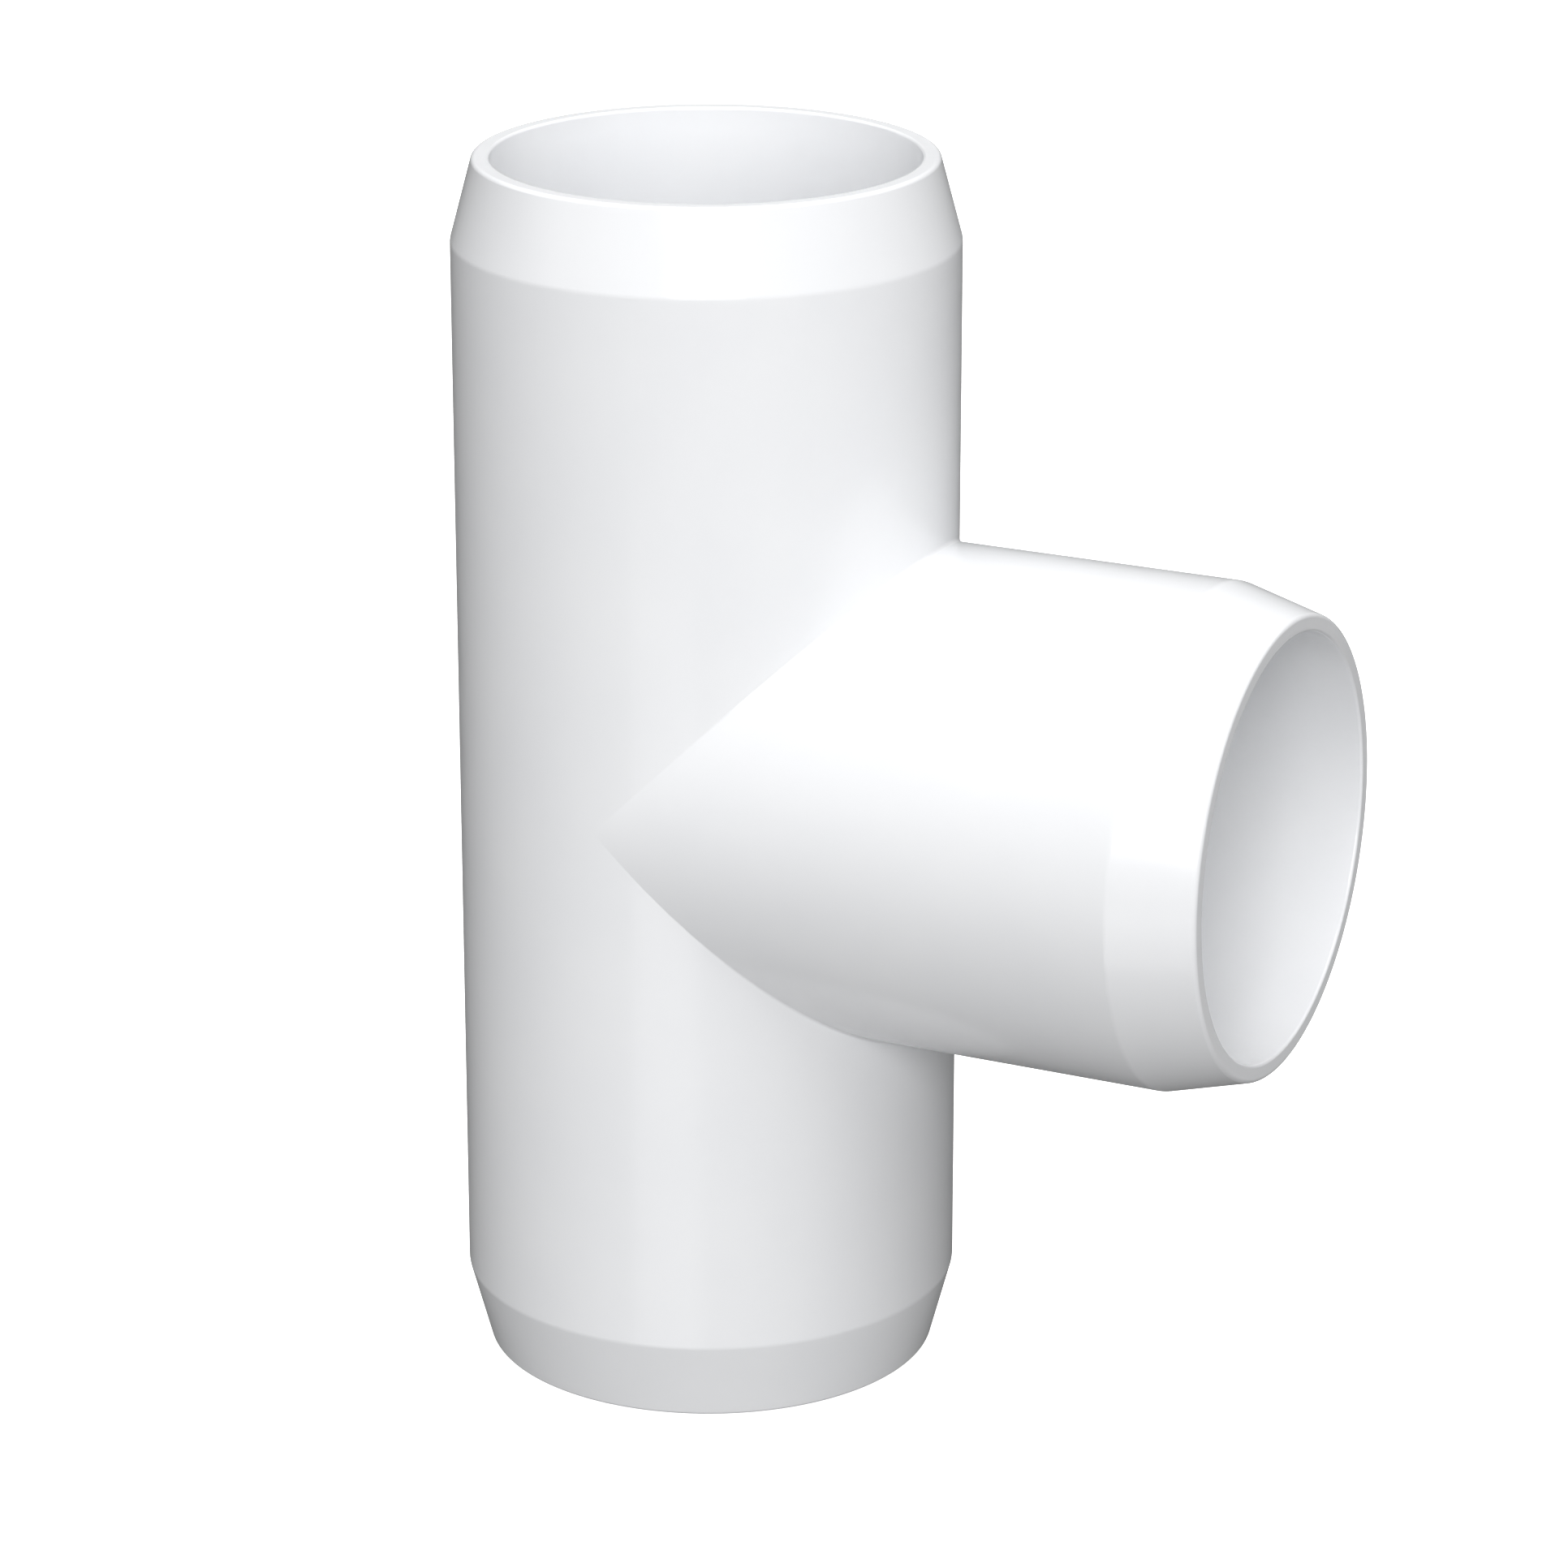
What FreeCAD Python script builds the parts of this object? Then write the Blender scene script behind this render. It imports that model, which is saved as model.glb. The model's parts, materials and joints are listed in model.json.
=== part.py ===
import FreeCAD, Part
import os
from math import radians, tan

# An equal slip-socket pipe tee for 1-1/4 inch pipe, moulded in one piece. Millimetres.
# The run stands along Z and the branch points along +X. The origin is where their
# centrelines cross. Three equal sockets take the pipes, and a shoulder at the bottom
# of each socket stops the pipe. Past the shoulders the waterways cross.

# Driving dimensions
PIPE_RADIUS = 42.16 / 2          # outside of a 1-1/4 inch pipe
SOCKET_CLEARANCE = 0.12          # radial room for cement round the pipe
BODY_RADIUS = 25.15              # outside of the run and of the branch
CENTRE_TO_MOUTH = 62.3           # the same on all three arms
CENTRE_TO_STOP = 28.0            # where a pipe stops
WATERWAY_RADIUS = 35.05 / 2      # the bore of the pipe itself
NOSE_LENGTH = 8.3                # tapered nose of each arm, along the arm
NOSE_ANGLE = 15.0                # degrees from the arm's axis

# Roundings
MOUTH_ROUND = 0.5                # outer corner of each mouth
HEEL_ROUND = 2.0                 # where the tapered nose meets the straight body
LIP_ROUND = 0.3                  # inner edge of each mouth
STOP_ROUND = 0.8                 # root and edge of each stop shoulder
CREASE_ROUND = 0.3               # crease between the branch and the run

CUTTER_MARGIN = 2.0              # how far the bore cutters run past the mouths

# Worked out from these
SOCKET_RADIUS = PIPE_RADIUS + SOCKET_CLEARANCE
MOUTH_RADIUS = BODY_RADIUS - NOSE_LENGTH * tan(radians(NOSE_ANGLE))
CENTRE_TO_HEEL = CENTRE_TO_MOUTH - NOSE_LENGTH

CENTRE = FreeCAD.Vector(0, 0, 0)
ALONG_Z = FreeCAD.Vector(0, 0, 1)
ALONG_Y = FreeCAD.Vector(0, 1, 0)


def leg(corner, neighbour):
    """Unit vector from a corner towards a neighbouring corner."""
    return (neighbour - corner).normalize()


def rounded_corner(corner, before, after, rounding):
    """Start, middle and end of the arc that rounds a corner between its neighbours."""
    back = leg(corner, before)
    ahead = leg(corner, after)
    inward = (back + ahead).normalize()
    cos_half = inward.dot(back)
    sin_half = (1 - cos_half ** 2) ** 0.5
    reach = rounding * cos_half / sin_half
    depth = rounding / sin_half - rounding
    return corner + back * reach, corner + inward * depth, corner + ahead * reach


def turned(outline):
    """Solid of revolution about Z. The outline's corners are (radius, height, rounding)."""
    corners = [FreeCAD.Vector(radius, 0, height) for radius, height, rounding in outline]
    edges = []
    place = corners[0]
    for index in range(1, len(corners)):
        rounding = outline[index][2]
        if rounding == 0:
            edges.append(Part.makeLine(place, corners[index]))
            place = corners[index]
            continue
        start, middle, end = rounded_corner(
            corners[index], corners[index - 1], corners[index + 1], rounding
        )
        edges.append(Part.makeLine(place, start))
        edges.append(Part.Arc(start, middle, end).toShape())
        place = end
    edges.append(Part.makeLine(place, corners[0]))
    return Part.Face(Part.Wire(edges)).revolve(CENTRE, ALONG_Z, 360)


def mirrored_outline(half):
    """Outline of both arms of the run, from the outline of its upper arm."""
    lower = [(radius, -height, rounding) for radius, height, rounding in reversed(half)]
    return lower + half


def onto_branch(solid):
    """The same solid with its +Z end turned to +X."""
    return solid.rotated(CENTRE, ALONG_Y, 90)


def outside():
    """Filled outside of the tee, with the crease between branch and run rounded."""
    arm = [
        (BODY_RADIUS, CENTRE_TO_HEEL, HEEL_ROUND),
        (MOUTH_RADIUS, CENTRE_TO_MOUTH, MOUTH_ROUND),
        (0, CENTRE_TO_MOUTH, 0),
    ]
    run = turned(mirrored_outline(arm))
    branch = onto_branch(turned([(0, 0, 0), (BODY_RADIUS, 0, 0)] + arm))
    body = run.fuse(branch)
    crease = [edge for edge in body.Edges if isinstance(edge.Curve, Part.Ellipse)]
    return body.makeFillet(CREASE_ROUND, crease)


def bores():
    """Everything hollow: three sockets, their stop shoulders and the crossing waterways."""
    arm = [
        (WATERWAY_RADIUS, CENTRE_TO_STOP, STOP_ROUND),
        (SOCKET_RADIUS, CENTRE_TO_STOP, STOP_ROUND),
        (SOCKET_RADIUS, CENTRE_TO_MOUTH, LIP_ROUND),
        (SOCKET_RADIUS + CUTTER_MARGIN, CENTRE_TO_MOUTH, 0),
        (SOCKET_RADIUS + CUTTER_MARGIN, CENTRE_TO_MOUTH + CUTTER_MARGIN, 0),
        (0, CENTRE_TO_MOUTH + CUTTER_MARGIN, 0),
    ]
    run = turned(mirrored_outline(arm))
    branch = onto_branch(turned([(0, 0, 0), (WATERWAY_RADIUS, 0, 0)] + arm))
    return run.fuse(branch)


def tee_body():
    """The whole moulding."""
    return outside().cut(bores())


os.makedirs("parts", exist_ok=True)
tee_body().exportStep("parts/tee_body.step")
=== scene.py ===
import bmesh
import bpy
import json
from math import acos, cos, pi, radians, sin, tan
from mathutils import Matrix, Vector


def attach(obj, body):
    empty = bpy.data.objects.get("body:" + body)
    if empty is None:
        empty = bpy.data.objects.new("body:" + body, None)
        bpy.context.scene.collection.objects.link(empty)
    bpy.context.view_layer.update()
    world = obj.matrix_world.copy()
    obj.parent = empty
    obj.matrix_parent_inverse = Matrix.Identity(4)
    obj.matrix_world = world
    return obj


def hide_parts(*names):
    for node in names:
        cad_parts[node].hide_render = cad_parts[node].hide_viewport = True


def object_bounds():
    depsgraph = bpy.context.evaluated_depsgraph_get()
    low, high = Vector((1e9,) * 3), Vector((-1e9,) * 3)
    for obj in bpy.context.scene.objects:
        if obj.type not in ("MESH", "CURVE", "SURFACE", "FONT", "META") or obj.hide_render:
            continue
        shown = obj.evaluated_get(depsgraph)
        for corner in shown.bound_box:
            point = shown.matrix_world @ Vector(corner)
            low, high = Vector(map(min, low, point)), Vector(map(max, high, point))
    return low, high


# The tee is one moulding. Its visual piece is one closed mesh of even quads with exact normals,
# built on the CAD model's sizes, and it stands for the CAD node tee_body.

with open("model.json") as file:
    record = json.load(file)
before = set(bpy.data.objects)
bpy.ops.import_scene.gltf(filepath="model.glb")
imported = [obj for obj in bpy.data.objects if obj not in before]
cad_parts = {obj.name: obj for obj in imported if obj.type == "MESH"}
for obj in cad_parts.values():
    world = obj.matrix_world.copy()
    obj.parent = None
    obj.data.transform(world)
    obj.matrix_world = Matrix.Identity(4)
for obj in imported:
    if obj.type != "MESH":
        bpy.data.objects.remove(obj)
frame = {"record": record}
cad_low, cad_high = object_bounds()

MM = 0.001

mounts = {mount["name"]: mount for mount in frame["record"]["mounts"]}


def wall_of(name):
    """Radius of a round mount's wall and its reach along the mount's axis, from the record."""
    dims = mounts[name]["dims"]
    middle = Vector(mounts[name]["pos_m"]).length
    half = dims["length_mm"] * MM / 2
    return dims["r_mm"] * MM, middle - half, middle + half


BODY_RADIUS = cad_high.y
MOUTH = cad_high.z                           # centre to mouth, on all three arms
SOCKET_RADIUS, SOCKET_ROOT, SOCKET_LIP = wall_of("upper_socket")
WATERWAY_RADIUS, _, WATERWAY_END = wall_of("run_waterway")
LIP_ROUND = MOUTH - SOCKET_LIP               # inner edge of the mouth
STOP_ROUND = (SOCKET_ROOT - WATERWAY_END) / 2
STOP = WATERWAY_END + STOP_ROUND             # the shoulder that stops the pipe
NOSE_LENGTH = 8.3 * MM                       # tapered nose of each arm
NOSE_ANGLE = 15                              # degrees from the arm's axis
MOUTH_ROUND = 0.5 * MM                       # outer corner of the mouth
HEEL_ROUND = 2.0 * MM                        # where the nose meets the straight body
CREASE_ROUND = 0.4 * MM                      # crease between branch and run
RIDGE_ROUND = 0.3 * MM                       # edge where the waterways cross

# Quads in the mesh: round each arm, and along each stretch of its profile.
COLUMNS = 240
BODY_QUADS = 20
HEEL_QUADS = 5
NOSE_QUADS = 8
CORNER_QUADS = 10
RIM_QUADS = 2
LIP_QUADS = 8
SOCKET_QUADS = 24
STOP_ROUND_QUADS = 6
STOP_FACE_QUADS = 3
WATERWAY_QUADS = 12
CREASE_QUADS = 6
WELD_DISTANCE = 1e-7                         # verts closer than this are one
NO_SPREAD = 1e-6                             # radians between directions that count as one

PVC_IOR = 1.5
MOTTLE_SIZE = 14 * MM
MOTTLE_RANGE = (0.35, 0.65)                  # of the noise, from the darker tint to the lighter
DARKER_TINT = (0.875, 0.884, 0.902, 1)
LIGHTER_TINT = (0.893, 0.901, 0.916, 1)
GLOSS_SIZE = 5 * MM
GLOSS_RANGE = (0.3, 0.7)                     # of the noise, from the smoother to the rougher
ROUGHNESS_RANGE = (0.13, 0.19)
WAVE_SIZE = 9 * MM
WAVE_DEPTH = 0.035 * MM
GRAIN_SIZE = 1.2 * MM
GRAIN_DEPTH = 0.006 * MM

CAMERA_AZIMUTH = 26.8                        # degrees from the front (-Y) towards the branch
CAMERA_ELEVATION = 18.86
CAMERA_DISTANCE = 22.75 * BODY_RADIUS        # from the crossing of the arms
CAMERA_PAN = -0.76                           # degrees off the crossing, to frame the branch too
CAMERA_TILT = -0.27
CAMERA_ROLL = 0.26
LENS_MM = 129.8
SENSOR_MM = 36
CLIP_START = 0.01
CLIP_END = 20
LAMP_DISTANCE = 1.2                          # centre of the object to each lamp, metres
LAMP_SIZE = 0.6
WORLD_GLOW = 0.225                           # what unlit surfaces get from all round
REFLECTED_GLOW = 0.15                        # the same, as seen in the gloss
FLOOR_RADIUS = 3.0
FLOOR_SEGMENTS = 96
FLOOR_WHITE = 0.85
FLOOR_ROUGHNESS = 0.9
FLOOR_GLOW = 0.9


def arc_rows(centre, radius, start, end, steps, hollow=False):
    """Rows along an arc in the (radius, distance) half plane, each with its normal. Degrees."""
    side = -1 if hollow else 1
    rows = []
    for step in range(steps + 1):
        angle = radians(start + (end - start) * step / steps)
        place = (centre[0] + radius * cos(angle), centre[1] + radius * sin(angle))
        rows.append((place, (side * cos(angle), side * sin(angle))))
    return rows


def line_rows(start, end, normal, steps):
    """Rows strictly between two points of a straight stretch."""
    rows = []
    for step in range(1, steps):
        share = step / steps
        place = tuple(a + (b - a) * share for a, b in zip(start, end))
        rows.append((place, normal))
    return rows


def arm_profile():
    """Rows of one arm from the end of its straight outside, over the mouth, to its waterway."""
    slope = radians(NOSE_ANGLE)
    nose_normal = (cos(slope), sin(slope))
    mouth_radius = BODY_RADIUS - NOSE_LENGTH * tan(slope)
    heel_centre = (BODY_RADIUS - HEEL_ROUND, MOUTH - NOSE_LENGTH - HEEL_ROUND * tan(slope / 2))
    corner_inset = MOUTH_ROUND * (1 - sin(slope)) / cos(slope)
    corner_centre = (mouth_radius - corner_inset, MOUTH - MOUTH_ROUND)
    lip_centre = (SOCKET_RADIUS + LIP_ROUND, MOUTH - LIP_ROUND)
    root_centre = (SOCKET_RADIUS - STOP_ROUND, STOP + STOP_ROUND)
    edge_centre = (WATERWAY_RADIUS + STOP_ROUND, STOP - STOP_ROUND)
    heel = arc_rows(heel_centre, HEEL_ROUND, 0, NOSE_ANGLE, HEEL_QUADS)
    corner = arc_rows(corner_centre, MOUTH_ROUND, NOSE_ANGLE, 90, CORNER_QUADS)
    lip = arc_rows(lip_centre, LIP_ROUND, 90, 180, LIP_QUADS)
    root = arc_rows(root_centre, STOP_ROUND, 0, -90, STOP_ROUND_QUADS, hollow=True)
    edge = arc_rows(edge_centre, STOP_ROUND, 90, 180, STOP_ROUND_QUADS)
    return (
        heel
        + line_rows(heel[-1][0], corner[0][0], nose_normal, NOSE_QUADS)
        + corner
        + line_rows(corner[-1][0], lip[0][0], (0, 1), RIM_QUADS)
        + lip
        + line_rows(lip[-1][0], root[0][0], (-1, 0), SOCKET_QUADS)
        + root
        + line_rows(root[-1][0], edge[0][0], (0, 1), STOP_FACE_QUADS)
        + edge
    )


def turned_up(angle, out, along):
    """Point or direction on the upper arm: out from its axis at an angle, and along it."""
    return Vector((out * sin(angle), -out * cos(angle), along))


def turned_down(angle, out, along):
    """The same on the lower arm."""
    return Vector((out * sin(angle), -out * cos(angle), -along))


def turned_branch(angle, out, along):
    """The same on the branch."""
    return Vector((along, -out * cos(angle), out * sin(angle)))


def run_crossing(angle, radius, rounding):
    """How far from the centre a wall of the run begins: beside the branch, or at mid-height."""
    return (radius + rounding) * max(sin(angle), 0.0)


def branch_crossing(angle, radius, rounding):
    """How far from the centre a wall of the branch begins: where it leaves the run's."""
    return (radius + rounding) * abs(sin(angle))


def add_grid(mesh, normals, columns, closed):
    """Quads between columns of (place, normal). A closed grid joins its last column to its first."""
    grid = []
    for column in columns:
        verts = []
        for place, normal in column:
            vert = mesh.verts.new(place)
            vert[normals] = normal
            verts.append(vert)
        grid.append(verts)
    joins = len(grid) if closed else len(grid) - 1
    for index in range(joins):
        left = grid[index]
        right = grid[(index + 1) % len(grid)]
        for row in range(len(left) - 1):
            mesh.faces.new((left[row], right[row], right[row + 1], left[row + 1]))


def add_arm(mesh, normals, turned, crossing):
    """One arm, inside and outside, from its outer crossing line round to its inner one."""
    profile = arm_profile()
    outer_end = profile[0][0]
    inner_end = profile[-1][0]
    columns = []
    for index in range(COLUMNS):
        angle = 2 * pi * index / COLUMNS
        outer_start = (BODY_RADIUS, crossing(angle, BODY_RADIUS, CREASE_ROUND))
        inner_start = (WATERWAY_RADIUS, crossing(angle, WATERWAY_RADIUS, RIDGE_ROUND))
        rows = (
            [(outer_start, (1, 0))]
            + line_rows(outer_start, outer_end, (1, 0), BODY_QUADS)
            + profile
            + line_rows(inner_end, inner_start, (-1, 0), WATERWAY_QUADS)
            + [(inner_start, (-1, 0))]
        )
        columns.append([(turned(angle, *place), turned(angle, *normal)) for place, normal in rows])
    add_grid(mesh, normals, columns, closed=True)


def add_crossing(mesh, normals, radius, rounding, side, height):
    """Rounded strip where the branch's cylinder meets the run's, above or below its axis.
    A ball that touches both cylinders rolls along it. side is 1 outside and -1 inside."""
    columns = []
    for index in range(COLUMNS // 2 + 1):
        angle = 2 * pi * index / COLUMNS
        reach = (radius + rounding) * sin(angle)
        ball = Vector((reach, -(radius + rounding) * cos(angle), height * reach))
        to_run = Vector((-sin(angle), cos(angle), 0))
        to_branch = Vector((0, cos(angle), -height * sin(angle)))
        spread = acos(max(-1.0, min(1.0, to_run.dot(to_branch))))
        column = []
        for step in range(CREASE_QUADS + 1):
            share = step / CREASE_QUADS
            if spread < NO_SPREAD:
                out = to_run.copy()
            else:
                out = to_run * sin((1 - share) * spread) + to_branch * sin(share * spread)
            out.normalize()
            column.append((ball + out * rounding, -out * side))
        columns.append(column)
    add_grid(mesh, normals, columns, closed=False)


def tee_moulding():
    """The whole tee as one closed mesh."""
    mesh = bmesh.new()
    normals = mesh.verts.layers.float_vector.new("exact_normal")
    add_arm(mesh, normals, turned_up, run_crossing)
    add_arm(mesh, normals, turned_down, run_crossing)
    add_arm(mesh, normals, turned_branch, branch_crossing)
    for height in (1, -1):
        add_crossing(mesh, normals, BODY_RADIUS, CREASE_ROUND, 1, height)
        add_crossing(mesh, normals, WATERWAY_RADIUS, RIDGE_ROUND, -1, height)
    bmesh.ops.remove_doubles(mesh, verts=mesh.verts, dist=WELD_DISTANCE)
    bmesh.ops.recalc_face_normals(mesh, faces=mesh.faces)
    exact = [vert[normals].normalized() for vert in mesh.verts]
    mesh.verts.layers.float_vector.remove(normals)
    data = bpy.data.meshes.new("tee_moulding")
    mesh.to_mesh(data)
    mesh.free()
    data.shade_smooth()
    data.normals_split_custom_set_from_vertices(exact)
    piece = bpy.data.objects.new("tee_moulding", data)
    bpy.context.scene.collection.objects.link(piece)
    return piece


def noise(tree, place, feature, detail):
    """A 3-D noise whose patches are about `feature` metres across."""
    texture = tree.nodes.new("ShaderNodeTexNoise")
    texture.inputs["Scale"].default_value = 1 / feature
    texture.inputs["Detail"].default_value = detail
    tree.links.new(place, texture.inputs["Vector"])
    return texture.outputs["Fac"]


def relief(tree, height, depth, below=None):
    """Bump of the given depth in metres, on top of another bump if there is one."""
    bump = tree.nodes.new("ShaderNodeBump")
    bump.inputs["Strength"].default_value = 1.0
    bump.inputs["Distance"].default_value = depth
    tree.links.new(height, bump.inputs["Height"])
    if below is not None:
        tree.links.new(below, bump.inputs["Normal"])
    return bump.outputs["Normal"]


def white_pvc():
    """Smooth moulded white plastic, with a faint mottle and the slight waviness of a moulding."""
    material = bpy.data.materials.new("white_pvc")
    material.use_nodes = True
    tree = material.node_tree
    shader = tree.nodes["Principled BSDF"]
    shader.inputs["IOR"].default_value = PVC_IOR
    place = tree.nodes.new("ShaderNodeTexCoord").outputs["Object"]

    tint = tree.nodes.new("ShaderNodeValToRGB")
    tint.color_ramp.elements[0].position = MOTTLE_RANGE[0]
    tint.color_ramp.elements[0].color = DARKER_TINT
    tint.color_ramp.elements[1].position = MOTTLE_RANGE[1]
    tint.color_ramp.elements[1].color = LIGHTER_TINT
    tree.links.new(noise(tree, place, MOTTLE_SIZE, detail=3), tint.inputs["Fac"])
    tree.links.new(tint.outputs["Color"], shader.inputs["Base Color"])

    gloss = tree.nodes.new("ShaderNodeMapRange")
    gloss.inputs["From Min"].default_value = GLOSS_RANGE[0]
    gloss.inputs["From Max"].default_value = GLOSS_RANGE[1]
    gloss.inputs["To Min"].default_value = ROUGHNESS_RANGE[0]
    gloss.inputs["To Max"].default_value = ROUGHNESS_RANGE[1]
    tree.links.new(noise(tree, place, GLOSS_SIZE, detail=4), gloss.inputs["Value"])
    tree.links.new(gloss.outputs["Result"], shader.inputs["Roughness"])

    waves = relief(tree, noise(tree, place, WAVE_SIZE, detail=1), WAVE_DEPTH)
    grain = relief(tree, noise(tree, place, GRAIN_SIZE, detail=2), GRAIN_DEPTH, below=waves)
    tree.links.new(grain, shader.inputs["Normal"])
    return material


def facing(azimuth, elevation):
    """Unit direction from the object, by azimuth from the front (-Y) towards +X, and elevation."""
    return Vector((sin(azimuth) * cos(elevation), -cos(azimuth) * cos(elevation), sin(elevation)))


def look_through_camera():
    """Camera placed by azimuth and elevation round the crossing of the arms."""
    back = facing(radians(CAMERA_AZIMUTH), radians(CAMERA_ELEVATION))
    data = bpy.data.cameras.new("camera")
    data.sensor_width = SENSOR_MM
    data.lens = LENS_MM
    data.clip_start = CLIP_START
    data.clip_end = CLIP_END
    camera = bpy.data.objects.new("camera", data)
    bpy.context.scene.collection.objects.link(camera)
    aim = back.to_track_quat("Z", "Y").to_matrix()
    pan = Matrix.Rotation(radians(CAMERA_PAN), 3, "Y")
    tilt = Matrix.Rotation(radians(CAMERA_TILT), 3, "X")
    roll = Matrix.Rotation(radians(-CAMERA_ROLL), 3, "Z")
    turned = (aim @ pan @ tilt @ roll).to_4x4()
    camera.matrix_world = Matrix.Translation(back * CAMERA_DISTANCE) @ turned
    bpy.context.scene.camera = camera


def soft_lamp(name, beside, elevation, watts, in_gloss=True):
    """Square softbox aimed at the object. beside is its azimuth in degrees from the camera's.
    With in_gloss False it lights the object, but isn't mirrored in its gloss."""
    way = facing(radians(CAMERA_AZIMUTH + beside), radians(elevation))
    data = bpy.data.lights.new(name, "AREA")
    data.shape = "SQUARE"
    data.size = LAMP_SIZE
    data.energy = watts
    lamp = bpy.data.objects.new(name, data)
    lamp.location = way * LAMP_DISTANCE
    lamp.rotation_euler = way.to_track_quat("Z", "Y").to_euler()
    lamp.visible_camera = False
    lamp.visible_glossy = in_gloss
    bpy.context.scene.collection.objects.link(lamp)


def studio_lamps():
    """Light mostly from the camera's side and above, with fill from the sides, below and behind."""
    soft_lamp("key", 0, 20, 8.5)
    soft_lamp("overhead", 0, 70, 3.5)
    soft_lamp("zenith", 0, 90, 3.0)
    soft_lamp("right", 40, 50, 1.5)
    soft_lamp("right_side", 60, 55, 1.0)
    soft_lamp("left", -80, 25, 0.5)
    soft_lamp("low", -20, -30, 1.0)
    soft_lamp("back", 180, 60, 3.5)
    soft_lamp("back_right", 110, 40, 1.0)
    soft_lamp("back_left", -110, 40, 1.5)
    soft_lamp("behind", 180, 0, 5.0, in_gloss=False)


def switched(tree, switch, off, on):
    """Output of a mix: `on` for the rays that the switch picks, and `off` for the rest, which is
    a number or another node's output."""
    mix = tree.nodes.new("ShaderNodeMix")
    tree.links.new(switch, mix.inputs["Factor"])
    if isinstance(off, float):
        mix.inputs["A"].default_value = off
    else:
        tree.links.new(off, mix.inputs["A"])
    mix.inputs["B"].default_value = on
    return mix.outputs["Result"]


def white_world():
    """Pure white behind the object, a dim even glow on it, and a dimmer one in its gloss."""
    world = bpy.data.worlds.new("studio")
    world.use_nodes = True
    tree = world.node_tree
    ray = tree.nodes.new("ShaderNodeLightPath")
    glow = switched(tree, ray.outputs["Is Glossy Ray"], WORLD_GLOW, REFLECTED_GLOW)
    glow = switched(tree, ray.outputs["Is Camera Ray"], glow, 1.0)
    background = tree.nodes["Background"]
    background.inputs["Color"].default_value = (1, 1, 1, 1)
    tree.links.new(glow, background.inputs["Strength"])
    bpy.context.scene.world = world


def white_floor():
    """Round white floor at the height of the lower mouth, glowing like a light table. It throws
    no light, shadow or reflection on the object."""
    mesh = bmesh.new()
    bmesh.ops.create_circle(mesh, cap_ends=True, radius=FLOOR_RADIUS, segments=FLOOR_SEGMENTS)
    data = bpy.data.meshes.new("floor")
    mesh.to_mesh(data)
    mesh.free()
    material = bpy.data.materials.new("floor")
    material.use_nodes = True
    shader = material.node_tree.nodes["Principled BSDF"]
    shader.inputs["Base Color"].default_value = (FLOOR_WHITE, FLOOR_WHITE, FLOOR_WHITE, 1)
    shader.inputs["Roughness"].default_value = FLOOR_ROUGHNESS
    shader.inputs["Emission Color"].default_value = (1, 1, 1, 1)
    shader.inputs["Emission Strength"].default_value = FLOOR_GLOW
    data.materials.append(material)
    floor = bpy.data.objects.new("floor", data)
    floor.location.z = cad_low.z
    floor.visible_diffuse = False
    floor.visible_glossy = False
    floor.visible_shadow = False
    bpy.context.scene.collection.objects.link(floor)


look_through_camera()
tee = tee_moulding()
tee.data.materials.append(white_pvc())
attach(tee, "root")
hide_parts("tee_body")
studio_lamps()
white_world()
white_floor()
bpy.context.scene.view_settings.view_transform = "Standard"
